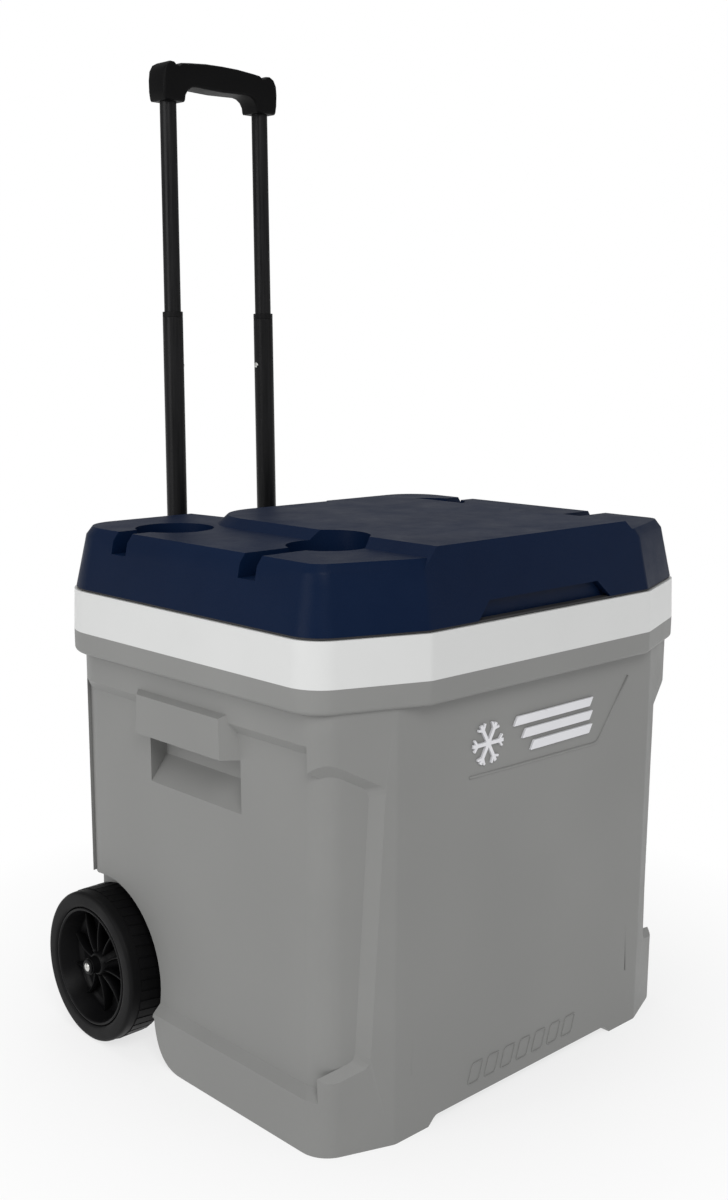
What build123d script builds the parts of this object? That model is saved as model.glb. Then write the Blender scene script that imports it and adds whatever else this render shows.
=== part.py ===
"""Wheeled hard cooler: an insulated tub with a hinged lid, two wheels and a telescoping pull handle.

Millimetres, +Z up. X is the width and the front faces -Y. The model is drawn about the tub's own
centre line and moved at export, so that its origin is the centre of its footprint, on the ground.
"""

import os
from math import atan, cos, degrees, radians, sin, tan

from build123d import *

# ---- driving dimensions -------------------------------------------------------------------------
WIDTH = 511.0                 # rim, left to right
FRONT_Y = -220.0              # rim, front face
REAR_Y = 204.0                # rim, rear face
FACET_CORNER_Y = -181.0       # where the front facet would meet the side
FACET_ANGLE = 20.85           # degrees between the front and the facet
CORNER_FRONT_R = 36.0
CORNER_REAR_R = 60.0
BODY_CORNER_R = 29.0          # upright corner between side and facet, below the rim
EDGE_R = 14.0                 # the soft upright edge between front and facet

RIM_LOW_Z, BAND_LOW_Z, BAND_TOP_Z = 382.0, 404.0, 443.7
FLANGE_LOW_Z = 440.0          # underside of the liner's top flange
LID_LOW_Z, LID_EDGE_Z, DECK_Z, PAD_Z = 446.0, 496.0, 504.0, 513.0
NECK_INSET, WALL_DRAFT = 11.2, 0.02
FRONT_EXTRA_INSET = 3.6
FACET_INSET, FACET_DRAFT = 5.2, 0.0247
REAR_INSET = 11.0
FLOOR_CLEARANCE = 8.0         # the underside stands this far off the ground between the feet
PANEL_DEPTH = 7.0             # the side panels are set in by this much
LEDGE_LOW_Z, LEDGE_TOP_Z, LEDGE_RISE = 48.0, 354.0, 9.0   # sloping ledges below and above them
PANEL_END, PANEL_END_SLOPE = 58.0, 12.0   # where a panel ends on the facet, from the corner
SHELL_WALL = 3.0
LINER_INSET, LINER_WALL = 44.0, 3.0
LINER_FLOOR_Z = 35.0
STEP_Y, STEP_Z = 104.0, 102.0  # raised floor over the axle

WHEEL_R, WHEEL_Y = 73.2, 143.4
WHEEL_OUTER_X, WHEEL_INNER_X = 256.0, 213.0
WELL_R, WELL_INNER_X = 86.0, 209.0
AXLE_R = 4.75

TUBE_X, TUBE_Y_AT_500, TUBE_LEAN = 63.8, 254.1, 1.5
OUTER_TUBE_R, OUTER_TUBE_BORE = 13.2, 11.35
MID_TUBE_R, MID_TUBE_BORE = 11.0, 9.6
INNER_TUBE_R, INNER_TUBE_BORE = 9.0, 7.8
OUTER_TUBE_LOW_Z, OUTER_TUBE_TOP_Z = 112.0, 468.0
MID_TUBE_LOW_Z, MID_TUBE_TOP_Z = 372.0, 716.5
INNER_TUBE_LOW_Z, INNER_TUBE_TOP_Z = 622.0, 972.0
BUTTON_Z, BUTTON_R = 658.0, 3.0

CUP_R, CUP_FLOOR_Z, CHANNEL_WIDTH = 38.0, 485.0, 23.0
FRONT_CUP, REAR_CUP = (152.0, -90.0), (180.0, 100.0)
PAD_HALF_WIDTH, PAD_REAR_Y, PAD_REAR_R = 132.0, 119.0, 62.0

HINGE_X, HINGE_Y, HINGE_Z = 150.0, 211.5, 445.0
HINGE_R, HINGE_PIN_R, HINGE_LENGTH = 5.0, 1.75, 66.0

GRIP_HALF_WIDTH, GRIP_TOP_Z, GRIP_LOW_Z = 79.2, 988.0, 942.0
GRIP_DEPTH = 30.0

DRAIN_Y, DRAIN_Z = -60.0, 53.0
SPOUT_R, SPOUT_BORE = 10.0, 7.0
LID_WALL, NOTCH_FLOOR_Z, PAD_BEVEL = 3.0, 474.0, 9.0
GRIP_EDGE_R = 9.0
RIM_R, HUB_R, BUSH_R, TYRE_EDGE_R = 57.0, 13.0, 8.0, 5.5
LUG_COUNT, SPOKE_COUNT = 30, 10
BADGE_Z = 332.0
EAR_X, EAR_THICK = 96.0, 6.0     # screw ears of the two handle brackets
LOWER_BACK_Y = REAR_Y - REAR_INSET - (RIM_LOW_Z - 135.0) * WALL_DRAFT

half = WIDTH / 2
phi = radians(FACET_ANGLE)


# ---- outlines and small helpers -----------------------------------------------------------------
def outline(z, side, facet=None, front=None, rear=None, corner_r=None):
    """The cooler's plan outline at height z, set in from the rim by a distance on each side."""
    facet = side if facet is None else facet
    front = side if front is None else front
    rear = side if rear is None else rear
    front_y, rear_y, side_x = FRONT_Y + front, REAR_Y - rear, half - side
    corner_y = FACET_CORNER_Y + (facet - sin(phi) * side) / cos(phi)
    edge_x = side_x - (corner_y - front_y) / tan(phi)
    points = [(edge_x, front_y), (side_x, corner_y), (side_x, rear_y), (-side_x, rear_y),
              (-side_x, corner_y), (-edge_x, front_y)]
    face = make_face(Polyline(*points, close=True))
    corner_r = max(CORNER_FRONT_R - side, 6.0) if corner_r is None else corner_r
    rounds = [EDGE_R, corner_r, max(CORNER_REAR_R - side, 6.0)]
    for radius, keep in zip(rounds, (lambda v: v.Y < front_y + 1,
                                     lambda v: abs(v.Y - corner_y) < 1 and abs(v.X) > side_x - 1,
                                     lambda v: v.Y > rear_y - 1)):
        face = fillet([v for v in face.vertices() if keep(v)], radius)
    return Pos(0, 0, z) * face


def between(lower, upper):
    """A straight-sided solid between two outlines."""
    return loft([lower, upper], ruled=True)


def body_outline(z, extra=0.0, extra_side=0.0):
    """The tub's outer wall at height z, drafted, moved in by extra all round and more at the sides."""
    drop = RIM_LOW_Z - z
    side = NECK_INSET + drop * WALL_DRAFT + extra + extra_side
    facet = FACET_INSET + drop * FACET_DRAFT + extra + extra_side
    front = NECK_INSET + FRONT_EXTRA_INSET + drop * WALL_DRAFT + extra
    rear = REAR_INSET + drop * WALL_DRAFT + extra
    return outline(z, side, facet, front, rear, BODY_CORNER_R - extra)


def lid_outline(z, inset=0.0):
    return outline(z, 2.5 + (z - LID_LOW_Z) * 0.2 + inset)


def box(x0, x1, y0, y1, z0, z1):
    return Pos((x0 + x1) / 2, (y0 + y1) / 2, (z0 + z1) / 2) * Box(x1 - x0, y1 - y0, z1 - z0)


def rod(x0, x1, radius, y, z):
    """A cylinder along X."""
    return Pos((x0 + x1) / 2, y, z) * Rot(0, 90, 0) * Cylinder(radius, x1 - x0)


def rod_y(y0, y1, radius, x, z):
    return Pos(x, (y0 + y1) / 2, z) * Rot(90, 0, 0) * Cylinder(radius, y1 - y0)


def side_prism(points, x0, x1):
    """A prism along X from an outline in Y and Z."""
    face = make_face(Polyline(*[(x0, y, z) for y, z in points], close=True))
    return extrude(face, amount=x1 - x0, dir=(1, 0, 0))


def both(part):
    """A part and its mirror image on the other side."""
    return part + mirror(part, about=Plane.YZ)


def upright(x, radius, z0, z1):
    """A cylinder on the leaning axis of one handle leg."""
    lean = radians(TUBE_LEAN)
    axis_y = TUBE_Y_AT_500 + (z0 - 500.0) * tan(lean)
    place = Plane(origin=(x, axis_y, z0), x_dir=(1, 0, 0), z_dir=(0, sin(lean), cos(lean)))
    return place * extrude(Circle(radius), amount=(z1 - z0) / cos(lean))


def tube(x, radius, bore, z0, z1):
    return upright(x, radius, z0, z1) - upright(x, bore, z0 - 1, z1 + 1)


def leg_y(z):
    return TUBE_Y_AT_500 + (z - 500.0) * tan(radians(TUBE_LEAN))


# ---- tub ----------------------------------------------------------------------------------------
def wheel_well(grow=0.0):
    """The space cut out of each rear corner: an arch over the wheel, open behind it."""
    inner, outer = WELL_INNER_X - grow, half + 10
    top = WHEEL_R + WELL_R - 2 + grow
    arch = rod(inner, outer, WELL_R + grow, WHEEL_Y, WHEEL_R)
    behind = box(inner, outer, WHEEL_Y, REAR_Y + 60, -5, top)
    return both(arch + behind)


def underside(grow=0.0):
    """What is taken away below: a raised middle, a raised tail and the axle's slot."""
    low = FLOOR_CLEARANCE + grow
    tail = side_prism([(100 - grow, -5), (100 - grow, low), (130 - grow, 50 + grow),
                       (REAR_Y + 60, 50 + grow), (REAR_Y + 60, -5)], -half, half)
    slot_half = AXLE_R + 3.4 + grow
    slot = box(-half, half, WHEEL_Y - slot_half, WHEEL_Y + slot_half, 20, WHEEL_R + AXLE_R + grow)
    arch = make_face(Polyline((-131 - grow, -6), (131 + grow, -6), (131 + grow, -1 + grow),
                              (121 + grow, low), (-121 - grow, low), (-131 - grow, -1 + grow), close=True))
    arch = fillet([v for v in arch.vertices() if v.Y > low - 0.1], 9)
    middle = extrude(Plane(origin=(0, FRONT_Y - 10, 0), x_dir=(1, 0, 0), z_dir=(0, -1, 0)) * arch,
                     amount=-(REAR_Y - FRONT_Y))
    behind_feet = box(-half, half, 46 - grow, REAR_Y, -5, low)
    # the outer rear end of each foot turns up in a curve to meet the wheel arch
    heel = make_face(Line((half + 5, 20 - grow, -5 + grow), (half + 5, 20 - grow, grow))
                     + Spline((half + 5, 20 - grow, grow), (half + 5, 44 - grow, 7 + grow),
                              (half + 5, 60 - grow, 44 + grow), tangents=((0, 1, 0), (0, 0.1, 1)))
                     + Polyline((half + 5, 60 - grow, 44 + grow), (half + 5, 120, 44 + grow),
                                (half + 5, 120, -5 + grow), (half + 5, 20 - grow, -5 + grow)))
    heels = both(extrude(heel, amount=56 + grow, dir=(-1, 0, 0)))
    return tail + slot + middle + behind_feet + heels


def side_pocket(grow=0.0):
    """The finger pocket under each side handle, with a sloping floor."""
    face_x = half - NECK_INSET - 15
    points = [(face_x + 30, 268 - grow), (face_x + 8, 270 - grow), (face_x - 12 - grow, 296 - grow),
              (face_x - 12 - grow, 321 + grow), (face_x + 30, 321 + grow)]
    face = make_face(Polyline(*[(x, -70 - grow, z) for x, z in points], close=True))
    return both(extrude(face, amount=134 + 2 * grow, dir=(0, 1, 0)))


def sunk_wall():
    """The tub wall with its panels sunk all round, with a sloping ledge below and above."""
    levels = ((LEDGE_LOW_Z, 0), (LEDGE_LOW_Z + LEDGE_RISE, PANEL_DEPTH),
              (LEDGE_TOP_Z - LEDGE_RISE, PANEL_DEPTH), (LEDGE_TOP_Z, 0))
    sections = [body_outline(z, 0, depth) for z, depth in levels]
    stack = between(sections[0], sections[1]) + between(sections[1], sections[2])
    return stack + between(sections[2], sections[3])


def facet_frame(depth):
    """The front part of the facet that stays proud, as an outline at a depth under its surface."""
    share = (PANEL_DEPTH - depth) / PANEL_DEPTH
    end = PANEL_END + PANEL_END_SLOPE * share
    start, far = -10.0, 130.0

    def low(along):
        return LEDGE_LOW_Z + LEDGE_RISE * (1 - share) + max(along, 0) * 0.35

    def high(along):
        return LEDGE_TOP_Z - LEDGE_RISE * (1 - share) - max(along + 6, 0) * 0.52

    points = [(start, -10), (far, -10), (far, 395), (start, 395), (start, high(start)),
              (end, high(end)), (end, low(end)), (start, low(start))]
    face = make_face(Polyline(*[(-along, z) for along, z in points], close=True))
    corners = [v for v in face.vertices() if abs(-v.X - end) < 0.01 and 0 < v.Y < 390]
    face = fillet(corners, 9)
    drop_inset = FACET_INSET + (RIM_LOW_Z - 200) * FACET_DRAFT
    corner = Vector(half, FACET_CORNER_Y + drop_inset / cos(phi), 0)
    outward = Vector(sin(phi), -cos(phi), 0)
    place = Plane(origin=corner - outward * depth, x_dir=(cos(phi), sin(phi), 0), z_dir=outward)
    return place * face


def side_panel():
    """What sinks each side wall: a drafted panel that wraps onto the facet and ends before its edge."""
    proud = between(body_outline(LEDGE_LOW_Z), body_outline(LEDGE_TOP_Z))
    proud = proud & box(70, half + 5, FRONT_Y - 5, 170, 0, 400)
    frame = between(facet_frame(PANEL_DEPTH + 3), facet_frame(-6))
    front = box(0, 300, FRONT_Y - 30, FRONT_Y + 20, 0, 400) & between(
        body_outline(0, 0, PANEL_DEPTH + 4), body_outline(400, 0, PANEL_DEPTH + 4))
    return both(proud - sunk_wall() - frame - front)


def side_handle():
    """A moulded grab bar on each side, over its pocket."""
    root = Plane(origin=(half - 24, -2, 344), x_dir=(0, 1, 0), z_dir=(1, 0, 0))
    inner = root * Polyline((-70, -23), (86, -23), (84, 24), (-68, 24), close=True)
    tip = Plane(origin=(half - 5.5, -2, 344), x_dir=(0, 1, 0), z_dir=(1, 0, 0))
    outer = tip * Polyline((-56, -23), (70, -23), (68, 13.5), (-54, 13.5), close=True)
    bar = loft([make_face(inner), make_face(outer)], ruled=True)
    return both(bar)


def tub_solid():
    """The tub as if it were one solid block: drafted walls, neck, overhanging rim and feet."""
    walls = between(body_outline(0), body_outline(RIM_LOW_Z))
    rim = between(outline(RIM_LOW_Z, 0.6), outline(BAND_LOW_Z, 0.0))
    rim = fillet(rim.faces().sort_by(Axis.Z)[0].edges(), 5.0)
    solid = walls - side_panel() + side_handle()
    return solid + rim


def make_tub():
    block = tub_solid() - wheel_well() - underside() - side_pocket()
    upstand = between(outline(BAND_LOW_Z - 1, 6), outline(FLANGE_LOW_Z, 6))
    cavity = between(body_outline(FLOOR_CLEARANCE + SHELL_WALL + 1, SHELL_WALL, PANEL_DEPTH),
                     body_outline(RIM_LOW_Z + 5, SHELL_WALL, PANEL_DEPTH))
    cavity = cavity + between(outline(RIM_LOW_Z + 4, 12), outline(FLANGE_LOW_Z, 12))
    cavity = cavity - wheel_well(SHELL_WALL)
    cavity = cavity - underside(SHELL_WALL + 0.5)
    cavity = cavity - side_pocket(SHELL_WALL)
    spout_hole = rod(half - 62, half + 5, SPOUT_R, DRAIN_Y, DRAIN_Z)
    shell = block + upstand - cavity - spout_hole
    liner_block = between(outline(LINER_FLOOR_Z - LINER_WALL, LINER_INSET + 14.2 - LINER_WALL),
                          outline(FLANGE_LOW_Z, LINER_INSET - LINER_WALL))
    liner_block = liner_block - step(LINER_WALL)
    room = between(outline(LINER_FLOOR_Z, LINER_INSET + 14.2), outline(BAND_TOP_Z + 1, LINER_INSET))
    room = room - step(0)
    band = between(outline(BAND_LOW_Z, 0), outline(BAND_TOP_Z, 0.6))
    band = band - between(outline(BAND_LOW_Z - 1, 6), outline(FLANGE_LOW_Z, 6))
    liner = band + liner_block - room - spout_hole
    foam = cavity - liner_block - spout_hole
    return shell, liner, foam


def step(grow):
    """The raised part of the tub's floor over the axle."""
    return box(-half, half, STEP_Y + grow, REAR_Y + 10, 0, STEP_Z - grow)


def cooler_drain():
    """Drain spout through the wall, its sealing ring, the nut inside and the screw cap outside."""
    wall_x = half - NECK_INSET - (RIM_LOW_Z - DRAIN_Z) * WALL_DRAFT
    inner_x = half - LINER_INSET - 14.2
    axis = (DRAIN_Y, DRAIN_Z)
    seat = rod(wall_x - 2.5, half + 4, 19.0, *axis)
    bore = rod(inner_x - 20, half + 10, SPOUT_BORE, *axis)
    boss = rod(wall_x - 12, wall_x - 2.5, 18.0, *axis) - rod(wall_x - 13, wall_x, SPOUT_R, *axis)
    pipe = rod(inner_x - 11, wall_x + 8, SPOUT_R - 0.4, *axis)
    spout = pipe + rod(wall_x - 0.5, wall_x + 2.5, 16.0, *axis) - bore
    seal = rod(wall_x - 2.5, wall_x - 0.5, 15.0, *axis) - rod(wall_x - 4, wall_x, SPOUT_R - 0.4, *axis)
    nut = rod(inner_x - 10, inner_x - 3, 15.0, *axis) - rod(inner_x - 12, inner_x, SPOUT_R - 0.4, *axis)
    cap = rod(wall_x + 2.8, wall_x + 11.5, 13.0, *axis) - rod(wall_x, wall_x + 8.5, SPOUT_R - 0.1, *axis)
    grips = [Pos(0, DRAIN_Y, DRAIN_Z) * Rot(angle, 0, 0) * Pos(0, -DRAIN_Y, -DRAIN_Z)
             * rod(wall_x + 2, half + 10, 1.2, DRAIN_Y, DRAIN_Z + 13.4) for angle in range(0, 360, 30)]
    for groove in grips:
        cap = cap - groove
    return boss, seat, spout, seal, nut, cap


# ---- lid ----------------------------------------------------------------------------------------
def pad_outline(z, grow):
    """The raised pad in the middle of the lid; its front runs out into the lid's front face."""
    wide, rear = PAD_HALF_WIDTH + grow, PAD_REAR_Y + grow
    face = make_face(Polyline((-wide, FRONT_Y - 30), (wide, FRONT_Y - 30), (wide, rear),
                              (-wide, rear), close=True))
    face = fillet([v for v in face.vertices() if v.Y > 0], PAD_REAR_R + grow)
    return Pos(0, 0, z) * face


def cup_cuts(grow=0.0):
    """Four cup holders, each with a channel that lets water run off the side of the lid."""
    cuts = None
    for x, y in (FRONT_CUP, REAR_CUP):
        well = Pos(x, y, CUP_FLOOR_Z - grow) * extrude(Circle(CUP_R + grow), amount=40)
        wide = CHANNEL_WIDTH / 2 + grow
        run = box(x, half + 10, y - wide, y + wide, CUP_FLOOR_Z - 1.5 - grow, PAD_Z + 20)
        pair = both(well + run)
        cuts = pair if cuts is None else cuts + pair
    return cuts


def rear_notch(grow=0.0):
    """The recess behind the pad that the pull handle's grip is reached through."""
    points = [(-88 - grow, PAD_REAR_Y + 1 - grow), (88 + grow, PAD_REAR_Y + 1 - grow),
              (101 + grow, REAR_Y + 20), (-101 - grow, REAR_Y + 20)]
    return Pos(0, 0, NOTCH_FLOOR_Z - grow) * extrude(make_face(Polyline(*points, close=True)), amount=60)


def finger_recess(grow=0.0):
    """A shallow scoop under the lid's front edge for lifting it."""
    face = make_face(Polyline((-96 - grow, LID_LOW_Z - 3), (96 + grow, LID_LOW_Z - 3),
                              (76 + grow, 462 + grow), (-76 - grow, 462 + grow), close=True))
    wedge = Plane(origin=(0, FRONT_Y, 0), x_dir=(1, 0, 0), z_dir=(0, -1, 0)) * face
    return extrude(wedge, amount=12.5 + grow, dir=(0, 1, 0))


def make_lid():
    hull = between(lid_outline(LID_LOW_Z), lid_outline(PAD_Z))
    side = between(lid_outline(LID_LOW_Z), lid_outline(LID_EDGE_Z))
    bevel = between(lid_outline(LID_EDGE_Z), outline(DECK_Z, 18.5))
    pad = between(pad_outline(LID_EDGE_Z, PAD_BEVEL + 9), pad_outline(PAD_Z, 0)) & hull
    block = side + bevel + pad - cup_cuts() - rear_notch() - finger_recess()
    wall = LID_WALL
    room = between(lid_outline(LID_LOW_Z - 1, wall), lid_outline(DECK_Z - wall - 4, wall))
    room = room + between(outline(DECK_Z - wall - 5, 21), outline(DECK_Z - wall, 25))
    room = room + (between(pad_outline(DECK_Z - wall - 1, 2), pad_outline(PAD_Z - wall, -wall))
                   & between(lid_outline(LID_LOW_Z, wall), lid_outline(PAD_Z, wall)))
    room = room - cup_cuts(wall)
    room = room - rear_notch(wall)
    room = room - finger_recess(wall)
    shell = block - room
    plate_top = LID_LOW_Z + 3.0
    plate = between(lid_outline(LID_LOW_Z, wall), lid_outline(plate_top, wall)) & room
    foam = room - plate - box(-half, half, FRONT_Y, REAR_Y, 0, plate_top)
    plug = between(outline(LID_LOW_Z - 10, LINER_INSET + 6), outline(LID_LOW_Z, LINER_INSET + 5))
    plug = plug - between(outline(LID_LOW_Z - 11, LINER_INSET + 11), outline(LID_LOW_Z, LINER_INSET + 10))
    liner = plate + plug
    gasket = outline(BAND_TOP_Z + 0.3, 3.5) - outline(BAND_TOP_Z + 0.3, 15)
    gasket = extrude(gasket, amount=LID_LOW_Z - BAND_TOP_Z - 0.3)
    return shell, foam, liner, gasket


# ---- hinges -------------------------------------------------------------------------------------
def hinge_parts(x):
    """One lid hinge: a leaf on the tub, a leaf on the lid, and the pin through both."""
    low, high = x - HINGE_LENGTH / 2, x + HINGE_LENGTH / 2
    third = HINGE_LENGTH / 3
    hole = rod(low - 1, high + 1, HINGE_PIN_R + 0.05, HINGE_Y, HINGE_Z)
    middle = rod(low + third + 0.4, high - third - 0.4, HINGE_R, HINGE_Y, HINGE_Z)
    room = rod(low + third - 0.1, high - third + 0.1, HINGE_R + 1.0, HINGE_Y, HINGE_Z)
    side_room = (rod(low - 1, low + third + 0.4, HINGE_R + 1.0, HINGE_Y, HINGE_Z)
                 + rod(high - third - 0.4, high + 1, HINGE_R + 1.0, HINGE_Y, HINGE_Z))
    tub_plate = box(low, high, REAR_Y, REAR_Y + 3, HINGE_Z - 34, HINGE_Z - 2)
    tub_arm = box(low, high, REAR_Y, HINGE_Y, HINGE_Z - 5, HINGE_Z - 1.5)
    tub_leaf = tub_plate + tub_arm - room
    tub_leaf = tub_leaf + rod(low, low + third, HINGE_R, HINGE_Y, HINGE_Z)
    tub_leaf = tub_leaf + rod(high - third, high, HINGE_R, HINGE_Y, HINGE_Z) - hole
    lid_face = side_prism([(194, HINGE_Z + 5.5), (HINGE_Y - 3, HINGE_Z + 5.5), (HINGE_Y - 3, HINGE_Z + 10),
                           (204, HINGE_Z + 32), (190, HINGE_Z + 32)], low, high)
    lid_arm = box(low + third + 0.4, high - third - 0.4, REAR_Y - 1, HINGE_Y, HINGE_Z + 1.5, HINGE_Z + 9)
    lid_leaf = (lid_face + lid_arm) - side_room + middle - hole
    pin = rod(low - 1.5, high + 1.5, HINGE_PIN_R, HINGE_Y, HINGE_Z)
    return tub_leaf, lid_leaf, pin


def screw(x, y, z, radius=3.4):
    """A pan head screw driven forwards, as a plain head and shank."""
    return rod_y(y, y + 1.8, radius, x, z) + rod_y(y - 9, y, 1.6, x, z)


def screw_group(places):
    screws = [screw(*place) for place in places]
    return screws[0] + screws[1:]


# ---- pull handle --------------------------------------------------------------------------------
def bracket(z0, z1, front_y, wide, ear_y):
    """A moulded clamp block between the tub's back and the two handle tubes."""
    rear = leg_y(z1) + OUTER_TUBE_R + 5
    block = box(-wide, wide, front_y, rear, z0, z1)
    block = fillet([e for e in block.edges().filter_by(Axis.Z) if e.center().Y > front_y + 5], 12)
    block = block + box(-EAR_X - 9, EAR_X + 9, front_y, ear_y, z0 + 5, z1 - 5)
    window = box(-TUBE_X + 26, TUBE_X - 26, front_y + 10, rear - 10, z0 - 1, z1 + 1)
    window = fillet(window.edges().filter_by(Axis.Z), 8)
    return block - window


def make_brackets(shell):
    upper = bracket(392, 430, REAR_Y, 86, REAR_Y + EAR_THICK)
    lower = bracket(118, 152, REAR_Y - 24, 86, LOWER_BACK_Y + EAR_THICK) - shell
    lower = max(lower.solids(), key=lambda s: s.volume)
    for side in (-1, 1):
        leg = upright(side * TUBE_X, OUTER_TUBE_R, 100, 480)
        upper, lower = upper - leg, lower - leg
    return upper, lower


def grip_shell():
    """The grip: a rounded bar across the legs with a downturned boss over each one."""
    mid_y, top, low = leg_y(970), GRIP_TOP_Z, GRIP_LOW_Z
    bar_low = top - 31
    side = GRIP_HALF_WIDTH
    points = [(-side, low), (-side, top - 7), (-TUBE_X, top - 2), (0, top), (TUBE_X, top - 2),
              (side, top - 7), (side, low), (49, low), (37, bar_low), (-37, bar_low), (-49, low)]
    face = make_face(Polyline(*points, close=True))
    top_corners = [v for v in face.vertices() if abs(v.X) > side - 1 and v.Y > bar_low]
    face = fillet(top_corners, 16)
    face = fillet([v for v in face.vertices() if abs(v.Y - bar_low) < 0.5], 13)
    place = Plane(origin=(0, mid_y - GRIP_DEPTH / 2, 0), x_dir=(1, 0, 0), z_dir=(0, -1, 0))
    bar = extrude(place * face, amount=-GRIP_DEPTH)
    long_edges = [e for e in bar.edges() if abs(e.center().Y - mid_y) > GRIP_DEPTH / 2 - 0.1
                  and e.center().Z > low + 1]
    return fillet(long_edges, GRIP_EDGE_R)


def make_grip():
    """The grip's hard core, its soft cover over the middle, and the screws that hold the legs."""
    solid = grip_shell()
    mid_y = leg_y(970)
    cover_zone = box(-46, 46, mid_y - 40, mid_y + 40, GRIP_LOW_Z - 5, GRIP_TOP_Z + 5)
    inner = Pos(0, mid_y, GRIP_TOP_Z - 15.5) * Box(110, GRIP_DEPTH - 10, 20)
    inner = fillet(inner.edges().filter_by(Axis.X), 7)
    cover = (solid & cover_zone) - inner
    core = solid - cover
    for side in (-1, 1):
        core = core - upright(side * TUBE_X, INNER_TUBE_R, GRIP_LOW_Z - 5, INNER_TUBE_TOP_Z)
    return core, cover


# ---- wheels -------------------------------------------------------------------------------------
def wheel_parts():
    """The right wheel: tyre with tread lugs, core with a dished disc and thin ribs, and its bush."""
    inner, outer = WHEEL_INNER_X, WHEEL_OUTER_X
    middle = (inner + outer) / 2
    tyre = rod(inner, outer, WHEEL_R - 1.6, WHEEL_Y, WHEEL_R)
    tyre = fillet(tyre.edges().filter_by(GeomType.CIRCLE), TYRE_EDGE_R)
    lug = box(inner + 4, outer - 4, WHEEL_Y - 4.0, WHEEL_Y + 4.0, 2 * WHEEL_R - 4, 2 * WHEEL_R)
    lug = fillet(lug.edges().filter_by(Axis.Z), 2)
    hub_turn = [360 / LUG_COUNT * n for n in range(LUG_COUNT)]
    lugs = [Pos(0, WHEEL_Y, WHEEL_R) * Rot(turn, 0, 0) * Pos(0, -WHEEL_Y, -WHEEL_R) * lug
            for turn in hub_turn]
    tyre = tyre + lugs - rod(inner - 1, outer + 1, RIM_R, WHEEL_Y, WHEEL_R)
    tyre = tyre & rod(inner, outer, WHEEL_R, WHEEL_Y, WHEEL_R)
    rim = rod(inner, outer - 0.5, RIM_R, WHEEL_Y, WHEEL_R)
    hub = rod(inner, outer, HUB_R, WHEEL_Y, WHEEL_R)
    dish = rod(middle, outer + 1, RIM_R - 5, WHEEL_Y, WHEEL_R) - hub
    back = rod(inner - 1, middle - 4, RIM_R - 5, WHEEL_Y, WHEEL_R) - hub
    core = rim - dish - back
    spoke = box(middle - 1, outer - 3, WHEEL_Y - 1.6, WHEEL_Y + 1.6, WHEEL_R + HUB_R - 2,
                WHEEL_R + RIM_R - 3)
    for n in range(SPOKE_COUNT):
        turn = 360 / SPOKE_COUNT * n + 12
        core = core + (Pos(0, WHEEL_Y, WHEEL_R) * Rot(turn, 0, 0) * Pos(0, -WHEEL_Y, -WHEEL_R) * spoke)
    bush_hole = rod(inner - 5, outer + 5, BUSH_R, WHEEL_Y, WHEEL_R)
    core = core - bush_hole
    bush = rod(inner, outer - 0.5, BUSH_R, WHEEL_Y, WHEEL_R) - rod(inner - 1, outer + 1, AXLE_R + 0.08,
                                                                 WHEEL_Y, WHEEL_R)
    return tyre, core, bush


def axle_parts():
    """The axle through both wheels, its end caps, inner washers and the two clips that hold it."""
    end = WHEEL_OUTER_X + 0.3
    axle = rod(-end, end, AXLE_R, WHEEL_Y, WHEEL_R)
    cap = rod(end - 0.2, end + 2.6, AXLE_R + 3.0, WHEEL_Y, WHEEL_R)
    cap = fillet(cap.faces().sort_by(Axis.X)[-1].edges(), 2.0) - rod(0, end, AXLE_R, WHEEL_Y, WHEEL_R)
    washer = rod(WELL_INNER_X + 0.3, WHEEL_INNER_X - 0.5, 12, WHEEL_Y, WHEEL_R)
    washer = washer - rod(200, 230, AXLE_R, WHEEL_Y, WHEEL_R)
    slot_half = AXLE_R + 3.4
    clip = box(140, 162, WHEEL_Y - slot_half, WHEEL_Y + slot_half, WHEEL_R - 14, WHEEL_R + AXLE_R - 2)
    clip = clip + box(132, 170, WHEEL_Y - slot_half, WHEEL_Y + slot_half, 52, 60)
    clip = clip - rod(100, 200, AXLE_R, WHEEL_Y, WHEEL_R)
    clip = clip - box(100, 200, WHEEL_Y - AXLE_R, WHEEL_Y + AXLE_R, WHEEL_R, WHEEL_R + 20)
    return axle, cap, washer, clip


# ---- nameplate ----------------------------------------------------------------------------------
def badge():
    """A plain plate with a six-armed snowflake and three slanted bars, stuck on the front wall."""
    drop = RIM_LOW_Z - BADGE_Z
    face_y = FRONT_Y + NECK_INSET + FRONT_EXTRA_INSET + drop * WALL_DRAFT
    place = Pos(0, face_y, BADGE_Z) * Rot(degrees(atan(WALL_DRAFT)), 0, 0)
    pieces = []
    for n in range(6):
        arm = Pos(0, 0, 10) * Box(3.4, 2.4, 20)
        twig = Pos(0, 0, 14) * Rot(0, 50, 0) * Pos(0, 0, 3.5) * Box(2.2, 2.4, 7)
        other = Pos(0, 0, 14) * Rot(0, -50, 0) * Pos(0, 0, 3.5) * Box(2.2, 2.4, 7)
        pieces.append(Pos(-66, -1.2, 0) * Rot(0, 60 * n + 30, 0) * (arm + twig + other))
    mark = pieces[0] + pieces[1:]
    for x, long in ((-6, 84), (6, 72), (18, 60)):
        height = 8.5
        z = 13.0 - (x + 6) * 1.08
        bar = make_face(Polyline((x - 26, z - height / 2), (x + long, z - height / 2),
                                 (x + long + 5, z + height / 2), (x - 21, z + height / 2), close=True))
        stand = Plane(origin=(0, 0, 0), x_dir=(1, 0, 0), z_dir=(0, -1, 0))
        mark = mark + extrude(stand * bar, amount=2.4)
    return place * mark


def mirrored(part):
    return mirror(part, about=Plane.YZ)


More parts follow.
